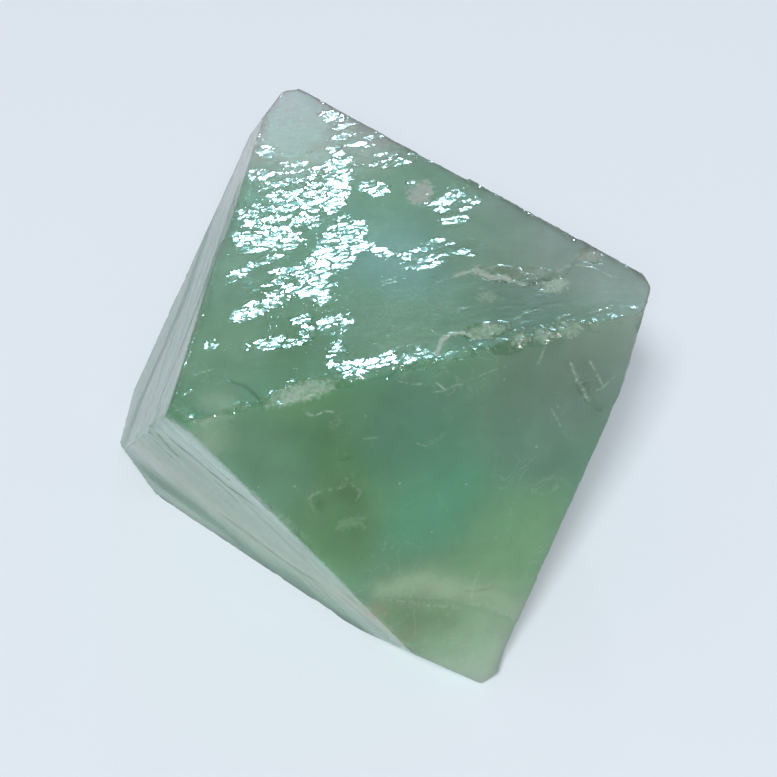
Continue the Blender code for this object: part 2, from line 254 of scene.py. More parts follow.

# Coloured clouds and stains just under a face, and bands of painted shade on the slivers: the middle
# line of each, half its width in millimetres, its colour and its strength
StainAndShade = namedtuple("StainAndShade", "face points width colour strength")
STAINS_AND_PAINTED_SHADE = [
    StainAndShade("front_left", [(0, 13.2), (3.5, 11), (6.5, 8.5), (9.4, 5.8)], 2.6, (0.72, 1, 0.9), 0.9),
    StainAndShade("front_left", [(-7.1, 3.3), (-3.6, 1.4), (0, 0.1), (4, 0.1), (7.5, -0.2), (11.8, 0.1)],
          2, (0.58, 0.62, 0.33), 0.75),
    StainAndShade("front_left", [(-2.2, 0), (0.5, -0.9), (2.7, -1.7), (4.9, -1.4)], 0.5,
          (0.42, 0.34, 0.24), 0.6),
    StainAndShade("front_left", [(6.3, -1.8), (7.1, -1.6)], 0.5, (0.6, 0.32, 0.24), 0.7),
    StainAndShade("front_left", [(9.8, 0.4), (11, 1.4)], 0.5, (0.62, 0.3, 0.22), 0.8),
    StainAndShade("front_left", [(1.8, -1), (2, -1)], 0.3, (0.5, 0.3, 0.25), 0.6),
    # Painted shade: a dark band along the lower rim of this sliver
    StainAndShade("front_left", FRONT_LEFT_RIM, 1.3, (0.1, 0.26, 0.26), 0.7),
    # A white band that lightens the far corner, where the painted rim shade would make it too dark
    StainAndShade("front_left", [(-8.6, 2), (-7.6, 2)], 1.8, (1, 1, 1), 0.95),
    # Painted shade: this sliver's upper part made darker, for the less light that reaches it
    StainAndShade("left", LEFT_UPPER_RIM, 0.8, (0.19, 0.48, 0.27), 0.95),
    StainAndShade("left", LEFT_CLOUD, 1.2, (0.28, 0.56, 0.42), 0.6),
    # Painted shade: a dark band along the lower rim of this sliver
    StainAndShade("left", LEFT_LOWER_RIM, 1.6, (0.1, 0.26, 0.28), 0.6),
    StainAndShade("top", [(-2.8, -5.7), (-3.4, -4.7)], 0.6, (0.78, 1, 0.96), 0.8),
    StainAndShade("top", [(9.8, 11.7), (9, 11.9)], 0.9, (0.7, 0.84, 0.62), 0.4),
    StainAndShade("front", [(-13.1, 7.5), (-12.8, 5.8)], 1, (0.62, 0.74, 0.56), 0.5),
    StainAndShade("front", [(-4.9, -7.9), (-4.3, -8.6)], 0.35, (0.6, 0.34, 0.24), 0.6),
    StainAndShade("front", [(-6.3, 4), (-5.7, 1.2), (-5.8, -2.2)], 1.6, (0.13, 0.32, 0.1), 0.6),
    StainAndShade("front", [(-5.8, 0.5), (-5.4, -0.1)], 0.55, (0.1, 0.22, 0.06), 0.7),
    StainAndShade("front", [(-7.5, 0), (-7.4, 0.1)], 0.45, (0.1, 0.24, 0.07), 0.6),
    StainAndShade("front", [(-4.1, -6.9), (-1.9, -7.1), (0.2, -8.2), (2.4, -9.2), (3.8, -10.9)], 0.8,
          (0.7, 0.86, 0.62), 0.6),
    StainAndShade("front", [(-3.6, -8.6), (-1.9, -9.9), (-0.3, -10.1)], 0.8, (0.22, 0.38, 0.18), 0.7),
]

# How many times further than a line a stain, a band of painted shade or a dull band wavers, how far
# from its face a stain or shade band reaches, and how far colours keep from a ridge, in millimetres
BAND_WAVER = 4
BAND_REACH = 0.2
RIDGE_MARGIN = 0.02

# Where the top face glints, in patches of small plates. Strength is how unlike each other the plates
# lie, and glint the share of them that lean to mirror the back lamp.
Stir = namedtuple("Stir", "across up length width turn strength glint")
STIRRED = [
    Stir(4.2, -2.2, 3.3, 6, 0, 0.7, 0.35),
    Stir(2.9, -1.9, 1.9, 0.45, 60, 0.3, 0),
    Stir(-0.3, -10, 3, 2.4, -26, 0.9, 0.4),
    Stir(5.1, -7.2, 2.2, 1.1, 8, 0.7, 0.65),
    Stir(7.6, -1.9, 1, 2, 8, 0.8, 0.55),
    Stir(6.6, 1.8, 2, 1.1, 11, 0.8, 0.55),
    Stir(-6.1, -0.4, 0.9, 0.9, 9, 0.9, 0.15),
    Stir(-3.1, 0.2, 2, 1.2, 8, 0.9, 0.6),
    Stir(6, 7.5, 1.8, 0.7, 11, 0.8, 0.45),
    Stir(9.5, 7, 0.8, 0.4, 75, 0.5, 0.2),
    Stir(4.5, 5.5, 0.7, 0.65, 12, 0.8, 0.6),
    Stir(-5.3, -4.3, 1.5, 1, 26, 0.7, 0.8),
    Stir(-5, -2.7, 0.9, 0.35, 9, 0.7, 0.7),
    Stir(2.1, -12.4, 0.8, 0.6, -39, 0.7, 0.8),
    Stir(6.2, -9.3, 0.6, 0.75, -11, 0.7, 0.7),
    Stir(2.5, 6, 1.2, 0.75, 35, 0.7, 0.85),
    Stir(2.5, 8.3, 1, 0.5, 78, 0.8, 0.75),
    Stir(2.4, 9.2, 0.8, 0.6, -63, 0.7, 0.8),
    Stir(-4.3, 8.6, 1.1, 0.35, 14, 0.7, 0.9),
    Stir(4, -4.6, 2.5, 0.9, -14, 0.36, 1),
    Stir(1.9, -6.6, 2.8, 0.9, 83, 0.34, 1),
    Stir(-0.2, -5.7, 1.1, 0.8, -15, 0.34, 1),
    Stir(5.5, -2.8, 2.8, 0.55, 4, 0.38, 0.95),
    Stir(5.8, -1.3, 1.7, 0.95, 1, 0.36, 1),
    Stir(2.4, -0.2, 2.8, 1.35, 61, 0.3, 1),
    Stir(3.5, 1.5, 1.4, 1.1, 28, 0.32, 1),
    Stir(0.2, -0.4, 1.8, 0.45, -31, 0.5, 0.95),
    Stir(3.4, 3.2, 0.7, 0.75, -2, 0.4, 1),
    Stir(5, 3, 0.8, 0.6, 10, 0.5, 0.9),
    Stir(7, 4.5, 1.8, 0.6, 31, 0.34, 1),
    Stir(8, 5.1, 0.7, 0.55, 18, 0.3, 1),
    Stir(4.1, 6.6, 0.5, 0.65, 7, 0.45, 1),
    Stir(0.5, 9.4, 2, 0.8, 20, 0.5, 1),
    Stir(-2.1, 8.6, 0.9, 0.5, 21, 0.5, 1),
]

# How unlike each other the plates lie elsewhere, how softly the stirred patches end, and how ragged
# the slow and the fine noise make them
CALM = 0.30
STIR_SOFT = 0.3
STIR_RAGGED = (0.3, 0.25)

# Painted glint haze, a pale colour laid where many of the plates glint in place of their halo: the
# share from which it starts, its colour and strength
PAINTED_HAZE_FROM = 0.2
PAINTED_HAZE_COLOUR = (0.52, 0.86, 0.76)
PAINTED_HAZE_STRENGTH = 0.4

# Painted shade along the ridges of the hidden faces, which darkens the skin there: how wide in
# millimetres and how much, on most faces and on those where it ends softly
HIDDEN = ("bottom", "back_right", "right", "back")
RIM_REACH = 0.30
PAINTED_RIM_SHADE = 0.15
SOFT_RIM_FACES = ("left", "front_left")
SOFT_RIM_REACH = 0.7
SOFT_PAINTED_RIM_SHADE = 0.6

# The pale ridge: the faces that meet there, the one that is frosted, how frosted, how wide in
# millimetres and how whole
PALE_RIDGE = ("front", "front_left")
PALE_RIDGE_FACE = "front_left"
PALE_RIDGE_FROST = 0.7
PALE_RIDGE_WIDTH = 0.13
PALE_RIDGE_WHOLE = 0.8

# Colour zones in the crystal: where each is from the centre and how far it reaches in millimetres, its
# colour, and how strongly it tints the body colour. The white one at the top corner is painted sheen.
# Drift is how far noise shifts them, and over what length, in millimetres. Its noise needs a seed to
# be the same in each run.
Zone = namedtuple("Zone", "place reach colour weight")
BODY_COLOUR = (0.22, 0.47, 0.29)
FROST_COLOUR = (0.85, 1.0, 0.88, 1.0)
DRIFT = 1.6
DRIFT_LENGTH = 3.5
DRIFT_SEED = 1795845011
ZONES_AND_PAINTED_SHEEN = [
    Zone((-3.2, 2.5, 15), 8, (0.4, 0.76, 0.5), 3.2),
    Zone((7, 0, 14), 6, (0.34, 0.42, 0.25), 1.2),
    # Painted sheen: the top corner made white for the soft pale reflection on it
    Zone((-5.5, 13.3, 10.6), 5, (1, 1, 1), 12),
    Zone((9.5, -4.7, 11), 3.2, (0.2, 0.34, 0.22), 5),
    Zone((13.4, -6.2, 7.6), 2.6, (0.22, 0.36, 0.3), 4),
    Zone((11.1, 4.2, 11), 5.2, (0.64, 0.73, 0.72), 2.7),
    Zone((14.5, -1.9, 9.5), 5, (0.71, 0.75, 0.73), 3.5),
    Zone((0.7, 0.2, 11), 2.8, (0.5, 0.9, 0.98), 4.2),
    Zone((-4, -8.4, 11.3), 3, (0.17, 0.4, 0.12), 2.5),
    Zone((1.7, -6.6, 11.2), 3, (0.39, 0.62, 0.38), 3),
    Zone((-8.4, -6.6, 11.2), 3.5, (0.46, 0.76, 0.5), 3),
    Zone((2.4, -10.2, 8.9), 3, (0.11, 0.36, 0.24), 2.8),
    Zone((4.4, -11.8, 2.6), 2.6, (0.15, 0.54, 0.33), 3.5),
    Zone((-1.5, -14.2, 2.6), 2.8, (0.21, 0.4, 0.14), 2),
    Zone((-1, -11.9, 8), 2.5, (0.13, 0.44, 0.21), 2),
    Zone((11.2, -8.1, 6), 4, (0.2, 0.35, 0.28), 2),
    Zone((9.5, -12, -2), 3.5, (0.35, 0.68, 0.35), 2.5),
    Zone((6, -15, -6), 4, (0.47, 0.64, 0.38), 3),
    Zone((7.5, -15.4, -9.6), 3.5, (0.72, 0.94, 0.72), 8),
    Zone((2, -15.3, -4.4), 1.6, (0.38, 0.48, 0.29), 3),
    Zone((-11, 3.4, 6), 4, (0.16, 0.42, 0.27), 4),
    Zone((-8, 4.5, 11.4), 2.5, (0.55, 0.86, 0.7), 4),
    Zone((-8.9, -0.6, 11.2), 2.2, (0.55, 0.86, 0.7), 3.5),
    Zone((-7.2, -9.4, -4.2), 6, (0.35, 0.55, 0.36), 3),
    Zone((-12, -4.8, 5.7), 3, (0.26, 0.55, 0.42), 2),
    Zone((-2, -13.6, -4), 0.8, (0.55, 0.4, 0.32), 3),
    Zone((0.6, -14.2, -5.2), 0.9, (0.6, 0.38, 0.3), 3),
    Zone((2, -14.8, -5.8), 0.7, (0.6, 0.38, 0.3), 3),
]

# How wide and how deep the ridges crumble, in millimetres, by the two faces that meet
CRUMBLE = {
    ("top", "front"): (0.9, 0.025),
    ("top", "left"): (0.5, 0.040),
    ("top", "back_right"): (0.5, 0.045),
    ("front", "right"): (0.5, 0.040),
    ("front", "front_left"): (0.4, 0.035),
    ("left", "front_left"): (0.5, 0.040),
}
OTHER_CRUMBLE = (0.4, 0.030)

# How much the crumbling's width varies and how often in a millimetre, the share of each roughness and
# how often it changes, how deep it goes for its height, and how fast it and the crumbling set in
CRUMBLE_SWAY = (0.7, 0.9)
CRUMBLE_ROUGHNESS = ((1.0, 2.3), (0.6, 5.1))
CRUMBLE_DEPTH = 1.6
ROUGH_ONSET = 1.5
CRUMBLE_ONSET = 2.5

# The flats on crumbled ridges and in chips, the share of the height that counts across their rows,
# and the height and length of each roughness in the chips, in millimetres
CRUMBS = Plates(0.35, 0.22, 3.5, 0.004)
SHARDS = Plates(0.35, 0.28, 12.0, 0.012)
SLANT = 0.7
CHIP_ROUGHNESS = ((0.03, 0.5), (0.012, 0.2))

# How glossy the duller faces are, the dull bands on the faces, and how much frost dulls
GLOSS = {"left": 0.7, "front_left": 0.75}
Band = namedtuple("Band", "face points width strength")
DULL = [
    Band("top", [(-2.8, 8.4), (-8, 7), (-13.5, 5.6)], 0.9, 0.85),
    Band("top", [(-5.6, 1.9), (-8, 2.3), (-10.7, 2), (-13.8, 2)], 1.3, 0.8),
    Band("top", [(-12.6, 0.7), (-13.4, 0.7)], 0.9, 0.8),
    Band("top", [(-4.9, 6.8), (-7.3, 6.6)], 1, 0.7),
    Band("left", LEFT_UPPER_RIM, 0.9, 0.6),
    Band("left", LEFT_LOWER_RIM[:-1], 1.2, 0.5),
    Band("front_left", FRONT_LEFT_RIM[1:-1], 2, 0.8),
    Band("left", LEFT_CLOUD, 1.5, 0.7),
]
FROST_DULL = 0.8

# The crystal's plain values, and its roughness where clear and where frosted. Fluorite's
# index of refraction is 1.434.
OPTICS = {
    "IOR": 1.434,
    "Transmission Weight": 0.65,
    "Subsurface Weight": 1.0,
    "Subsurface Radius": (0.5, 1.0, 0.75),
    "Subsurface Scale": 0.005,
    "Specular IOR Level": 0.12,
    "Coat Roughness": 0.09,
    "Coat IOR": 1.434,
}
ROUGHNESS = (0.42, 0.65)
ABSORPTION_COLOUR = (0.15, 0.58, 0.35, 1.0)
ABSORPTION_DENSITY = 45

# Noise patterns in the crystal: how often they change in a metre, their detail and distortion, the
# span of the noise that is used, and the values that it turns into
Pattern = namedtuple("Pattern", "scale detail distortion span values")
CLOUDS = Pattern(420.0, 5.0, 0.6, (0.3, 0.7), (0.0, 1.0))
FROST_GRAIN = Pattern(5000.0, 2.0, 0.0, (0.35, 0.6), (0.60, 1.15))
VEINS = Pattern(330.0, 4.0, 1.6, (0.0, 1.0), (-0.5, 0.5))
VEIN_BREAKS = Pattern(160.0, 1.0, 0.0, (0.50, 0.60), (0.0, 1.0))
CLOUD_SHADE = (0.80, 0.82, 0.80, 1.0)

# How far from the middle of its noise a vein ends, and how frosted it is
VEIN_WIDTH = 0.012
VEIN_FROST = 0.22

# The specks, pale frosted dots that also stand in for tiny glints as painted glints: their cells in a
# metre, where in its cell a speck fades, the lots that give the faintest and the strongest, and how
# frosted that one is
SPECK_SCALE = 1000.0
SPECK_FADE = (0.03, 0.10)
SPECK_LOTS = (0.65, 1.0)
SPECK_FROST = 0.7

# The finest facets, made by a bump: their size, lean and turn
FACET_SIZE = (0.00035, 0.00014, 0.00020)
FACET_LEAN = 3.2
FACET_TURN = 20.3

# The camera: what it looks at, how far and which way it stands off, how it is rolled, its lens and
# sensor in millimetres, and the nearest that it sees
AIM = CENTRE + Vector((0.0011, 0.0, -0.0008))
CAMERA_DISTANCE = 0.157
CAMERA_AZIMUTH = -90
CAMERA_ELEVATION = 48.31
CAMERA_ROLL = 1.69
FOCAL_LENGTH = 115.8
SENSOR_WIDTH = 36.0
CLIP_START = 0.001

# The lamps for the gloss, which light nothing matt: the place from the centre where the level of the
# top face mirrors each, its size, power and colour. Only plates that lean mirror the back lamp on
# the crystal.
GLOSS_LAMP_DISTANCE = 0.35
MIRROR_PLACE = Vector((0.0080, -0.0240, 0.0110))
GLOSS_LAMPS = {
    "back_lamp": (MIRROR_PLACE, 0.039, 0.38, (0.55, 0.88, 1.0)),
    "halo_lamp": (Vector((0.0092, -0.0275, 0.0110)), 0.070, 0.075, (0.20, 0.75, 1.0)),
    "haze_lamp": (Vector((-0.0055, 0.0140, 0.0105)), 0.026, 0.006, (0.30, 0.90, 1.0)),
}

# The soft lamps: the azimuth and elevation of each, its size and power. They stand equally far off.
SOFT_LAMPS = {
    "left_lamp": ((-104, 56), 0.25, 16.1),
    "front_lamp": ((-91, 50), 0.50, 26.7),
}
SOFT_LAMP_DISTANCE = 2.0
SOFT_LAMP_COLOUR = (1.0, 1.0, 1.0)

# The light from all around
SURROUND_COLOUR = (0.97, 0.99, 1.0, 1.0)
SURROUND_STRENGTH = 0.22

# The plain pale surface
FLOOR_SIZE = 3.0
FLOOR_COLOUR = (0.70, 0.75, 0.82, 1.0)
FLOOR_ROUGHNESS = 0.7

# The sockets of a colour mix: the factor, the two colours and the result
MIX_INPUTS = (0, 6, 7)
MIX_OUTPUT = 2


def direction(azimuth, elevation):
    """The unit vector at an azimuth from +X and an elevation above the horizon."""
    turn = math.radians(azimuth)
    rise = math.radians(elevation)
    level = math.cos(rise)
    return Vector((math.cos(turn) * level, math.sin(turn) * level, math.sin(rise)))


NORMALS = {name: direction(*face[:2]) for name, face in FACES.items()}
OFFSETS = {name: face[2] * FACE_DISTANCE for name, face in FACES.items()}


def eye():
    """Where the camera stands."""
    return AIM + direction(CAMERA_AZIMUTH, CAMERA_ELEVATION) * CAMERA_DISTANCE


def lamp_place(mirror_place):
    """Where a lamp stands, so that the top face's level mirrors it at a place from the centre."""
    mirror = CENTRE + mirror_place
    return mirror - (eye() - mirror).normalized().reflect(NORMALS["top"]) * GLOSS_LAMP_DISTANCE


def face_name(normal):
    """The cleavage face that a flat belongs to, or None for a flat inside a chip."""
    name = max(NORMALS, key=lambda key: NORMALS[key].dot(normal))
    if NORMALS[name].dot(normal) < math.cos(math.radians(FLAT_TILT)):
        return None
    return name


def grain_of(normal):
    """How large the triangles of a flat are."""
    name = face_name(normal)
    if name is None:
        return CHIP_GRAIN
    return GRAIN.get(name, HIDDEN_GRAIN)


def coarse_flats():
    """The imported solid, welded, with each of its flats as one polygon."""
    flats = bmesh.new()
    flats.from_mesh(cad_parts["fluorite_octahedron"].data)
    bmesh.ops.remove_doubles(flats, verts=flats.verts[:], dist=WELD_GAP)
    bend = math.radians(DISSOLVE_ANGLE)
    bmesh.ops.dissolve_limit(flats, angle_limit=bend, verts=flats.verts[:], edges=flats.edges[:])
    return flats


def split_edge(edge, grain):
    """Halves an edge until no piece is longer than the grain."""
    if edge.calc_length() > grain:
        half, _ = bmesh.utils.edge_split(edge, edge.verts[0], 0.5)
        split_edge(edge, grain)
        split_edge(half, grain)


def inside(points, outline):
    """Which points lie inside an outline, by counting the sides to the right of each."""
    found = np.zeros(len(points), dtype=bool)
    x, y = points[:, 0], points[:, 1]
    for (x0, y0), (x1, y1) in zip(outline, np.roll(outline, -1, axis=0)):
        spans = (y0 > y) != (y1 > y)
        if y1 != y0:
            found ^= spans & (x < x0 + (y - y0) * (x1 - x0) / (y1 - y0))
    return found


def clear_of(points, others, gap):
    """The points that keep a gap to the others."""
    if not len(others):
        return list(points)
    tree = kdtree.KDTree(len(others))
    for number, (u, v) in enumerate(others):
        tree.insert((u, v, 0), number)
    tree.balance()
    return [point for point in points if tree.find((point[0], point[1], 0))[2] > gap]


def filling(outline, grain, lines, draw):
    """Even points inside an outline, kept off its sides, with finer ones along the lines."""
    low, high = outline.min(axis=0), outline.max(axis=0)
    rise = grain * math.sqrt(3) / 2
    if min(high - low) < rise:
        return []
    rows = np.arange(low[1], high[1], rise)
    columns = np.arange(low[0], high[0], grain)
    x, y = np.meshgrid(columns, rows)
    x = x + (np.arange(len(rows)) % 2)[:, None] * grain / 2
    points = np.stack([x.ravel(), y.ravel()], axis=1)
    points += draw.uniform(-STRAY, STRAY, points.shape) * grain
    points = clear_of(points[inside(points, outline)], outline, KEEP_OFF * grain)
    if not len(lines):
        return points
    gap = KEEP_OFF * LINE_GRAIN / MM
    fine = clear_of(lines[inside(lines, outline)], outline, gap)
    fine = list({(round(u / gap), round(v / gap)): (u, v) for u, v in fine}.values())
    return clear_of(points, fine, gap) + fine


def line_points(name):
    """Places along the lines on a face, close enough together for the lines to show."""
    across, up, foot = face_axes(name)
    found = []
    for line in [line for line in LINES if line.face == name]:
        for start, end in zip(line.points, line.points[1:]):
            start, end = Vector(start), Vector(end)
            way = end - start
            side = Vector((-way.y, way.x)).normalized() * LINE_GRAIN / MM
            for part in np.arange(0, 1, LINE_GRAIN / MM / way.length):
                for offset in range(-LINE_ROWS, LINE_ROWS + 1):
                    u, v = start + way * part + side * offset
                    found.append(CENTRE + (foot + across * u + up * v) * MM)
    return found


def flattened(points, middle, across, up):
    """Points as places across a flat and up it from its middle, in millimetres."""
    offsets = [point - middle for point in points]
    return np.array([(offset.dot(across), offset.dot(up)) for offset in offsets]) / MM


def fine_skin():
    """The solid's flats filled with even triangles. Gives points, triangles and each one's face."""
    flats = coarse_flats()
    for edge in flats.edges[:]:
        split_edge(edge, min(grain_of(face.normal) for face in edge.link_faces))
    flats.verts.index_update()
    points = [vertex.co.copy() for vertex in flats.verts]
    triangles, faces = [], []
    draw = np.random.default_rng(DRAW_SEED)
    lines = {name: line_points(name) for name in FACES}
    for flat in flats.faces:
        across = flat.normal.orthogonal().normalized()
        up = flat.normal.cross(across)
        middle = flat.calc_center_median()
        corners = [vertex.index for vertex in flat.verts]
        outline = flattened([points[corner] for corner in corners], middle, across, up)
        name = face_name(flat.normal)
        near = flattened(lines.get(name, []), middle, across, up)
        inner = filling(outline, grain_of(flat.normal) / MM, near, draw)
        numbers = corners + list(range(len(points), len(points) + len(inner)))
        points += [middle + across * u * MM + up * v * MM for u, v in inner]
        spots = [Vector(spot) for spot in [*outline, *inner]]
        loop = [list(range(len(corners)))]
        _, _, cells, sources, _, _ = delaunay_2d_cdt(spots, [], loop, INSIDE_ONLY, FLAT_GAP)
        for cell in cells:
            triangles.append([numbers[sources[corner][0]] for corner in cell])
            faces.append(name)
    flats.free()
    return points, triangles, faces


def patchwork(along, across, plates, seed, strength=1.0, share=0.0, common=(0, 0)):
    """The depth of small flats. Each has its own lean, and a share of them the common one besides."""
    _, cells = noise.voronoi(Vector((along / plates.length, across / plates.width, seed)))
    cell = cells[0]
    lot = noise.cell_vector(cell * LEAN_SEED)
    turned = noise.cell_vector(cell * GLINT_SEED).x < share
    lean = 2 * strength * math.tan(math.radians(plates.lean))
    rise = (lean * (lot.y - 0.5) + turned * common[1]) * (across - cell.y * plates.width)
    run = (ALONG_LEAN * lean * (lot.x - 0.5) + turned * common[0]) * (along - cell.x * plates.length)
    return rise + run + strength * plates.step * (lot.z - 0.5)


def terraces(along, across, height, seed):
    """The depth of steps that run along the cleavage, at uneven spacings."""
    place = across / STEP_SPACING
    for number, wander in enumerate(STEP_WANDERS):
        shift = seed + WANDER_SEED * number
        spot = Vector((along / wander.length, across / wander.width, shift))
        place += wander.amount * noise.noise(spot)
    level = math.floor(place)
    low = noise.cell_vector(Vector((level + 0.5, seed, 0.5))).x
    high = noise.cell_vector(Vector((level + 1.5, seed, 0.5))).x
    blend = min(1.0, max(0.0, (place - level - (1 - STEP_SLOPE)) / STEP_SLOPE))
    return height * (low + (high - low) * blend)


def face_depth(name, place, stir, glint):
    """How deep the skin sinks at a place on a face, in millimetres."""
    relief = RELIEF[name]
    normal, other = NORMALS[name], NORMALS[relief.partner]
    ridge = normal.cross(other).normalized()
    across_way = ridge.cross(normal)
    strength, common = 1.0, (0, 0)
    if name == "top":
        strength, common = stir, mirror_lean(place, ridge, across_way)
    along, across = place.dot(ridge), place.dot(across_way)
    seed = FACE_SEED * list(FACES).index(name)
    bend, often = BEND_ALONG
    along += bend * noise.noise(place * often)
    bend, often = BEND_ACROSS
    across += bend * noise.noise(place * often + Vector((seed, 0, 0)))
    swell = relief.swell * (CALM_SWELL + (1 - CALM_SWELL) * strength)
    depth = swell * noise.noise(place / SWELL_LENGTH + Vector((0, seed, 0)))
    depth += patchwork(along, across, relief.large, seed + LARGE_SEED, strength, glint, common)
    depth += patchwork(along, across, relief.small, seed + SMALL_SEED, strength)
    depth += terraces(along, across, relief.terrace, seed)
    return depth


def loose_plates(place, plates, seed):
    """The depth of small flats where no cleavage guides them, on crumbled ridges and in chips."""
    return patchwork(place.x, place.y + SLANT * place.z, plates, seed)


def crumble_depth(place, gaps):
    """How much the ridges near a place have crumbled, in millimetres."""
    near = sorted(gaps, key=gaps.get)[:2]
    pair = tuple(name for name in FACES if name in near)
    width, height = CRUMBLE.get(pair, CRUMBLE.get(pair[::-1], OTHER_CRUMBLE))
    sway, often = CRUMBLE_SWAY
    reach = 1 - gaps[near[1]] / (width * (1 + sway * noise.noise(place * often)))
    if reach <= 0:
        return 0.0
    rough = sum(part * abs(noise.noise(place * often)) for part, often in CRUMBLE_ROUGHNESS)
    depth = height * CRUMBLE_DEPTH * rough * min(1.0, reach * ROUGH_ONSET)
    return min(1.0, CRUMBLE_ONSET * reach) * (depth + loose_plates(place, CRUMBS, CRUMB_SEED))


def chip_depth(place):
    """How deep the skin sinks at a place inside a chip, in millimetres."""
    rough = sum(height * noise.noise(place / length) for height, length in CHIP_ROUGHNESS)
    return rough + loose_plates(place, SHARDS, SHARD_SEED)


def face_axes(name):
    """The ways across a face and up it, and the point of it that is nearest to the centre."""
    normal = NORMALS[name]
    across = direction(FACES[name][0] + 90, 0)
    return across, normal.cross(across), normal * OFFSETS[name] / MM


def grains(places, scale):
    """Noise at each place, with the scale in cycles per millimetre."""
    return np.array([noise.noise(Vector(place) * scale) for place in places])


def on_face(name, places):
    """The places across a face and up it, and how far each place is from its plane."""
    across, up, foot = face_axes(name)
    offset = places - np.array(foot)
    flat = np.stack([offset @ np.array(across), offset @ np.array(up)], axis=1)
    return flat, np.abs(offset @ np.array(NORMALS[name]))


def uneven(slow, fine, shares):
    """The slow and the fine noise added up, each by its share."""
    return shares[0] * slow + shares[1] * fine


def patch_amount(patch, places, soft, ragged):
    """How far each place is inside a patch, from 0 outside it to 1 inside it."""
    flat, off = on_face(patch.face, places)
    x, y = (flat - (patch.across, patch.up)).T
    cos, sin = math.cos(math.radians(patch.turn)), math.sin(math.radians(patch.turn))
    away = np.hypot((x * cos + y * sin) / patch.length, (y * cos - x * sin) / patch.width) + ragged
    return np.clip((1 + soft / 2 - away) / soft, 0, 1) * (off < MARK_REACH)


def line_amount(line, places, ragged):
    """How near each place is to the middle of a line, from 0 off it to 1 on it."""
    flat, off = on_face(line.face, places)
    flat = flat + WAVER * ragged
    amount = np.zeros(len(places))
    for start, end in zip(line.points, line.points[1:]):
        start, end = np.array(start), np.array(end)
        way = end - start
        part = np.clip((flat - start) @ way / (way @ way), 0, 1)
        gap = np.linalg.norm(flat - start - part[:, None] * way, axis=1)
        amount = np.maximum(amount, np.exp(-((gap / line.width) ** 2)))
    return amount * (off < MARK_REACH)


def marks(places, slow, fine):
    """How deep the marks go at each place in millimetres, how frosted and how dark they are."""
    depth, frost, shade = np.zeros((3, len(places)))
    for patch in PATCHES:
        amount = patch_amount(patch, places, PATCH_SOFT, uneven(slow, fine, PATCH_RAGGED))
        depth += patch.depth * amount
        frost = np.maximum(frost, patch.frost * amount)
    for line in LINES:
        amount = line_amount(line, places, np.stack([fine, slow], axis=1))
        whole, change = FAINT_LINE if 0 < line.frost < 1 else STRONG_LINE
        amount = amount ** np.exp(THINNING * fine) * np.clip(whole + change * fine, 0, 1)
        depth += line.depth * amount
        frost = np.maximum(frost, line.frost * amount)
        shade = np.maximum(shade, -line.frost * amount)
    return depth, frost, shade


def stirring(places, slow, fine):
    """How unlike each other the top face's plates lie, and the share of them that turn to the lamp."""
    stir = np.full(len(places), CALM)
    glint = np.zeros(len(places))
    for spot in STIRRED:
        patch = Patch("top", *spot[:5], 0, 0)
        amount = patch_amount(patch, places, STIR_SOFT, uneven(slow, fine, STIR_RAGGED))
        stir += (spot.strength - stir) * amount
        glint += (spot.glint - glint) * amount
    return stir, glint


def mirror_lean(place, along_way, across_way):
    """The slopes, along and across the cleavage, with which the top face mirrors the back lamp."""
    point = CENTRE + place * MM
    half = (eye() - point).normalized() + (lamp_place(MIRROR_PLACE) - point).normalized()
    half = half / half.dot(NORMALS["top"])
    return half.dot(along_way), half.dot(across_way)


def tints(places):
    """The crystal's colour at each place, with the painted sheen at the top corner."""
    colours = np.tile(BODY_COLOUR, (len(places), 1))
    weights = np.ones(len(places))
    noise.seed_set(DRIFT_SEED)
    drift = np.array([noise.noise_vector(Vector(place) / DRIFT_LENGTH) for place in places])
    for zone in ZONES_AND_PAINTED_SHEEN:
        away = np.linalg.norm(places + DRIFT * drift - np.array(zone.place), axis=1)
        weight = zone.weight * np.exp(-((away / zone.reach) ** 2))
        colours += weight[:, None] * np.array(zone.colour)
        weights += weight
    return colours / weights[:, None]


def two_nearest(places):
    """The numbers of the two faces that each place is nearest to, and its gap to the second."""
    normals = np.array([NORMALS[name] for name in FACES])
    offsets = np.array([OFFSETS[name] for name in FACES]) / MM
    gaps = offsets - places @ normals.T
    order = np.argsort(gaps, axis=1)[:, :2]
    return order, np.take_along_axis(gaps, order[:, 1:], axis=1)[:, 0]


def nearest(order, name):
    """Which places are nearest to the named face."""
    return order[:, 0] == list(FACES).index(name)


def ridge_frost(places, fine):
    """How frosted each place is for lying on the pale ridge."""
    order, gap = two_nearest(places)
    pale = np.array([name in PALE_RIDGE for name in FACES])[order].all(axis=1)
    pale &= nearest(order, PALE_RIDGE_FACE) & (gap > RIDGE_MARGIN)
    whole = np.clip(PALE_RIDGE_WHOLE + fine, 0, 1)
    return PALE_RIDGE_FROST * pale * np.exp(-((gap / PALE_RIDGE_WIDTH) ** 2)) * whole


def stained_and_shaded(colours, places, ragged):
    """The colours with the stains and the bands of painted shade laid over them, each on its own face
    only and not on its ridges.
    """
    order, gap = two_nearest(places)
    for stain in STAINS_AND_PAINTED_SHADE:
        _, off = on_face(stain.face, places)
        own = nearest(order, stain.face) & (off < gap - RIDGE_MARGIN)
        amount = stain.strength * line_amount(stain, places, ragged)
        amount = amount * np.exp(-((off / BAND_REACH) ** 2)) * own
        colours = colours + amount[:, None] * (np.array(stain.colour) - colours)
    return colours


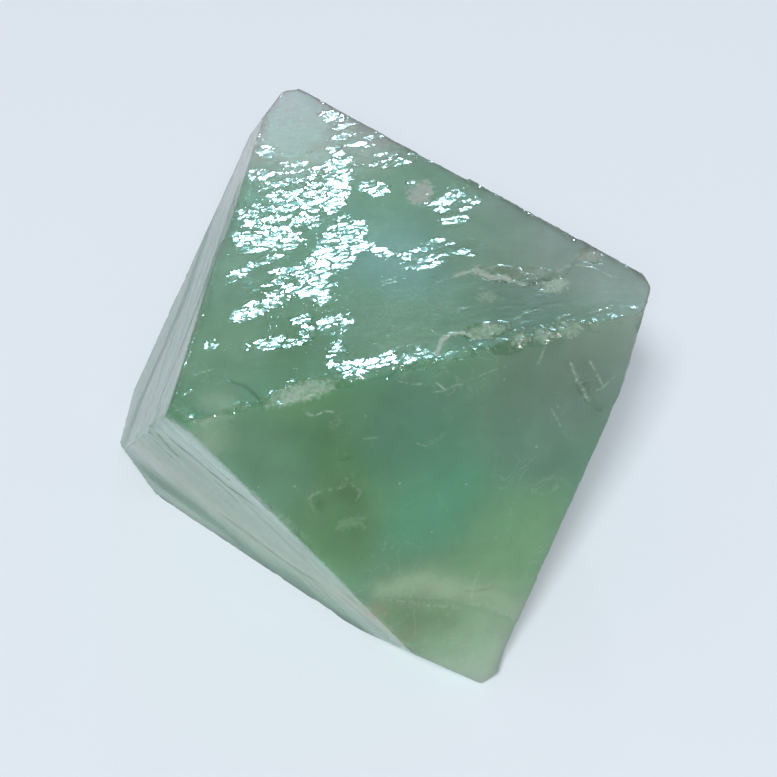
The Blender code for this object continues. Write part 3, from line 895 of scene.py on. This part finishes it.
def painted_rim_shade(places):
    """How much painted shade darkens each place for being near a ridge of a hidden face."""
    order, gap = two_nearest(places)
    hidden = np.array([name in HIDDEN for name in FACES])[order].any(axis=1)
    soft = np.array([name in SOFT_RIM_FACES for name in FACES])[order[:, 0]]
    reach = np.where(soft, SOFT_RIM_REACH, RIM_REACH)
    return np.where(soft, SOFT_PAINTED_RIM_SHADE, PAINTED_RIM_SHADE) * hidden * np.exp(-((gap / reach) ** 2))


def corner_faces(points, triangles, faces):
    """For each point, the faces of the triangles around it, and the way that these look together."""
    owners = [set() for _ in points]
    leans = [Vector() for _ in points]
    for corners, name in zip(triangles, faces):
        a, b, c = (points[corner] for corner in corners)
        lean = (b - a).cross(c - a)
        for corner in corners:
            owners[corner].add(name)
            leans[corner] += lean
    return owners, leans


def point_moves(point, owner, lean, mark, stir, glint):
    """How a point sinks: each face that it is on, the way out of that face, and the depth."""
    place = (point - CENTRE) / MM
    gaps = {name: OFFSETS[name] / MM - NORMALS[name].dot(place) for name in FACES}
    crumble = crumble_depth(place, gaps)
    moves = []
    for name in sorted(owner, key=str):
        if name is None:
            moves.append((None, lean.normalized(), chip_depth(place) + crumble))
        else:
            depth = face_depth(name, place, stir, glint) + crumble + mark
            moves.append((name, NORMALS[name], depth))
    return moves


def sink(points, triangles, faces, depths, stirs, glints):
    """The points of the skin after it has sunk. The highest place of each face stays where it is."""
    owners, leans = corner_faces(points, triangles, faces)
    moves = [point_moves(*values) for values in zip(points, owners, leans, depths, stirs, glints)]
    lowest = {name: math.inf for name in [*FACES, None]}
    for parts in moves:
        for name, _, depth in parts:
            lowest[name] = min(lowest[name], depth)
    sunk = []
    for point, parts in zip(points, moves):
        shift = Vector()
        for name, normal, depth in parts:
            shift -= normal * (depth - lowest[name]) * MM
        sunk.append(point + shift / len(parts))
    return sunk


def glosses(places, frost, ragged):
    """How glossy each place is: less on the duller faces, in the dull bands, in the painted rim shade
    and on frost.
    """
    order, _ = two_nearest(places)
    gloss = np.array([GLOSS.get(name, 1.0) for name in FACES])[order[:, 0]]
    for band in DULL:
        gloss = gloss * (1 - band.strength * line_amount(band, places, ragged))
    return gloss * (1 - painted_rim_shade(places)) * (1 - FROST_DULL * np.clip(frost, 0, 1))


def add_values(data, name, values):
    """Keeps a value for each point of a mesh, for its material to read."""
    attribute = data.attributes.new(name, "FLOAT", "POINT")
    attribute.data.foreach_set("value", values)


def skin_colours(places, ragged, shade, glints):
    """The skin's colour at each place, with its stains and bands of painted shade, painted glint haze,
    dark marks and painted shade at the hidden ridges.
    """
    colours = stained_and_shaded(tints(places), places, ragged)
    # Painted glint haze: a pale colour where many of the plates glint
    haze = PAINTED_HAZE_STRENGTH * np.clip((glints - PAINTED_HAZE_FROM) / (1 - PAINTED_HAZE_FROM), 0, 1)
    colours += haze[:, None] * (np.array(PAINTED_HAZE_COLOUR) - colours)
    return colours * (1 - shade)[:, None] * (1 - painted_rim_shade(places))[:, None]


def crystal_skin():
    """The crystal's skin as an object."""
    points, triangles, faces = fine_skin()
    places = np.array([(point - CENTRE) / MM for point in points])
    slow, fine = grains(places, SLOW_NOISE), grains(places, FINE_NOISE)
    ragged = BAND_WAVER * np.stack([slow, fine], axis=1)
    depths, frost, shade = marks(places, slow, fine)
    frost = np.maximum(frost, ridge_frost(places, fine))
    stirs, glints = stirring(places, slow, fine)
    colours = skin_colours(places, ragged, shade, glints)
    data = bpy.data.meshes.new("crystal_skin")
    data.from_pydata(sink(points, triangles, faces, depths, stirs, glints), [], triangles)
    data.update()
    data.shade_smooth()
    data.set_sharp_from_angle(angle=math.radians(SHARP_ANGLE))
    tint = data.attributes.new("tint", "FLOAT_COLOR", "POINT")
    tint.data.foreach_set("color", np.hstack([colours, np.ones((len(places), 1))]).ravel())
    add_values(data, "frost", frost)
    add_values(data, "gloss", glosses(places, frost, ragged))
    add_values(data, "stir", stirs)
    skin = bpy.data.objects.new("crystal_skin", data)
    bpy.context.scene.collection.objects.link(skin)
    return skin


def fill(tree, node, inputs):
    """Gives the inputs of a node plain values, or links outputs to them."""
    for name, value in inputs.items():
        if isinstance(value, bpy.types.NodeSocket):
            tree.links.new(value, node.inputs[name])
        else:
            node.inputs[name].default_value = value


def add_node(tree, kind, inputs, **settings):
    """The outputs of a new node with these inputs and settings."""
    made = tree.nodes.new("ShaderNode" + kind)
    for name, value in settings.items():
        setattr(made, name, value)
    fill(tree, made, inputs)
    return made.outputs


def mix(tree, factor, low, high, blend="MIX"):
    """A mix of two colours."""
    inputs = dict(zip(MIX_INPUTS, (factor, low, high)))
    return add_node(tree, "Mix", inputs, data_type="RGBA", blend_type=blend)[MIX_OUTPUT]


def spread(tree, value, source, target):
    """A value moved from one span into another."""
    ends = dict(zip(("From Min", "From Max", "To Min", "To Max"), (*source, *target)))
    return add_node(tree, "MapRange", {"Value": value, **ends})["Result"]


def calculate(tree, operation, *values):
    """A step of arithmetic on plain values."""
    return add_node(tree, "Math", dict(enumerate(values)), operation=operation)["Value"]


def calculate_vectors(tree, operation, *vectors):
    """A step of arithmetic on vectors, by its outputs."""
    return add_node(tree, "VectorMath", dict(enumerate(vectors)), operation=operation)


def stored(tree, name, output="Fac"):
    """A value that the mesh keeps for each of its points."""
    return add_node(tree, "Attribute", {}, attribute_name=name)[output]


def noise_pattern(tree, place, pattern):
    """A noise pattern, as values in its own span."""
    inputs = {"Scale": pattern.scale, "Detail": pattern.detail, "Distortion": pattern.distortion}
    made = add_node(tree, "TexNoise", {"Vector": place, **inputs})
    return spread(tree, made["Fac"], pattern.span, pattern.values)


def fine_veins(tree, place):
    """How frosted each place is for lying on a fine vein."""
    middle = calculate(tree, "ABSOLUTE", noise_pattern(tree, place, VEINS))
    veins = spread(tree, middle, (0.0, VEIN_WIDTH), (VEIN_FROST, 0.0))
    return calculate(tree, "MULTIPLY", veins, noise_pattern(tree, place, VEIN_BREAKS))


def specks_and_painted_glints(tree, place):
    """How frosted each place is for lying on a speck, a pale dot that also stands in for a tiny glint.
    Only some of the cells have one.
    """
    cells = add_node(tree, "TexVoronoi", {"Vector": place, "Scale": SPECK_SCALE})
    lot = add_node(tree, "SeparateColor", {0: cells["Color"]})
    few = spread(tree, lot[0], SPECK_LOTS, (0.0, SPECK_FROST))
    return calculate(tree, "MULTIPLY", spread(tree, cells["Distance"], SPECK_FADE, (1.0, 0.0)), few)


def frosting(tree, place):
    """How frosted the crystal is, by its marks, veins and specks; the specks are partly painted
    glints.
    """
    grain = noise_pattern(tree, place, FROST_GRAIN)
    frosted = calculate(tree, "MULTIPLY", stored(tree, "frost"), grain)
    frosted = calculate(tree, "MAXIMUM", frosted, fine_veins(tree, place))
    return calculate(tree, "MAXIMUM", frosted, specks_and_painted_glints(tree, place))


def clouded(tree, place):
    """The tint that the mesh keeps, with darker clouds in it."""
    tint = stored(tree, "tint", "Color")
    darker = mix(tree, 1.0, tint, CLOUD_SHADE, "MULTIPLY")
    return mix(tree, noise_pattern(tree, place, CLOUDS), darker, tint)


def facet_bump(tree, place):
    """The finest facets as a bump, stronger where the plates are stirred up."""
    turn = (0, 0, math.radians(-FACET_TURN))
    scale = [1 / side for side in FACET_SIZE]
    spot = add_node(tree, "Mapping", {"Vector": place, "Rotation": turn, "Scale": scale})["Vector"]
    cells = add_node(tree, "TexVoronoi", {"Vector": spot, "Scale": 1.0})
    offset = calculate_vectors(tree, "SUBTRACT", spot, cells["Position"])["Vector"]
    lean = calculate_vectors(tree, "SUBTRACT", cells["Color"], (0.5, 0.5, 0.5))["Vector"]
    height = calculate_vectors(tree, "DOT_PRODUCT", offset, lean)["Value"]
    reach = 2 * FACET_SIZE[1] * math.tan(math.radians(FACET_LEAN))
    inputs = {"Strength": stored(tree, "stir"), "Distance": reach, "Height": height}
    return add_node(tree, "Bump", inputs)["Normal"]


def new_material(name):
    """A new material, with its node tree and its main shader."""
    material = bpy.data.materials.new(name)
    material.use_nodes = True
    return material, material.node_tree, material.node_tree.nodes["Principled BSDF"]


def crystal_material():
    """Cloudy green fluorite."""
    material, tree, shader = new_material("cloudy_green_fluorite")
    place = add_node(tree, "TexCoord", {})["Object"]
    frosted = frosting(tree, place)
    bump = facet_bump(tree, place)
    fill(tree, shader, OPTICS)
    fill(tree, shader, {
        "Base Color": mix(tree, frosted, clouded(tree, place), FROST_COLOUR),
        "Roughness": spread(tree, frosted, (0.0, 1.0), ROUGHNESS),
        "Coat Weight": stored(tree, "gloss"),
        "Normal": bump,
        "Coat Normal": bump,
    })
    absorption = {"Color": ABSORPTION_COLOUR, "Density": ABSORPTION_DENSITY}
    volume = add_node(tree, "VolumeAbsorption", absorption)["Volume"]
    fill(tree, tree.nodes["Material Output"], {"Volume": volume})
    return material


def add_floor():
    """A plain pale surface."""
    bpy.ops.mesh.primitive_plane_add(size=FLOOR_SIZE, location=(0, 0, 0))
    floor = bpy.context.object
    floor.name = "floor"
    material, tree, shader = new_material("pale_floor")
    fill(tree, shader, {"Base Color": FLOOR_COLOUR, "Roughness": FLOOR_ROUGHNESS})
    floor.data.materials.append(material)


def add_lamp(name, place, target, shape, size, power, colour):
    """An area lamp at a place, facing a target."""
    lamp = bpy.data.lights.new(name, "AREA")
    lamp.color = colour
    lamp.shape = shape
    lamp.size = size
    lamp.energy = power
    thing = bpy.data.objects.new(name, lamp)
    thing.location = place
    thing.rotation_euler = (target - place).to_track_quat("-Z", "Y").to_euler()
    bpy.context.scene.collection.objects.link(thing)
    return thing


def add_lights():
    """A soft white surround, soft lamps, and the lamps that only shine in the gloss."""
    world = bpy.data.worlds.new("soft_surround")
    world.use_nodes = True
    light = {"Color": SURROUND_COLOUR, "Strength": SURROUND_STRENGTH}
    fill(world.node_tree, world.node_tree.nodes["Background"], light)
    bpy.context.scene.world = world
    for name, (mirror_place, size, power, colour) in GLOSS_LAMPS.items():
        place = lamp_place(mirror_place)
        lamp = add_lamp(name, place, CENTRE, "DISK", size, power, colour)
        lamp.visible_diffuse = False
    for name, (angles, size, power) in SOFT_LAMPS.items():
        place = CENTRE + direction(*angles) * SOFT_LAMP_DISTANCE
        add_lamp(name, place, CENTRE, "SQUARE", size, power, SOFT_LAMP_COLOUR)


def add_camera():
    """The camera."""
    data = bpy.data.cameras.new("camera")
    data.lens = FOCAL_LENGTH
    data.sensor_width = SENSOR_WIDTH
    data.clip_start = CLIP_START
    camera = bpy.data.objects.new("camera", data)
    place = eye()
    turn = (AIM - place).to_track_quat("-Z", "Y").to_matrix().to_4x4()
    roll = Matrix.Rotation(math.radians(CAMERA_ROLL), 4, "Z")
    camera.matrix_world = Matrix.Translation(place) @ turn @ roll
    bpy.context.scene.collection.objects.link(camera)
    bpy.context.scene.camera = camera


bpy.context.scene.view_settings.view_transform = "Standard"
skin = crystal_skin()
skin.data.materials.append(crystal_material())
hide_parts("fluorite_octahedron")
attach(skin, "root")
add_floor()
add_lights()
add_camera()
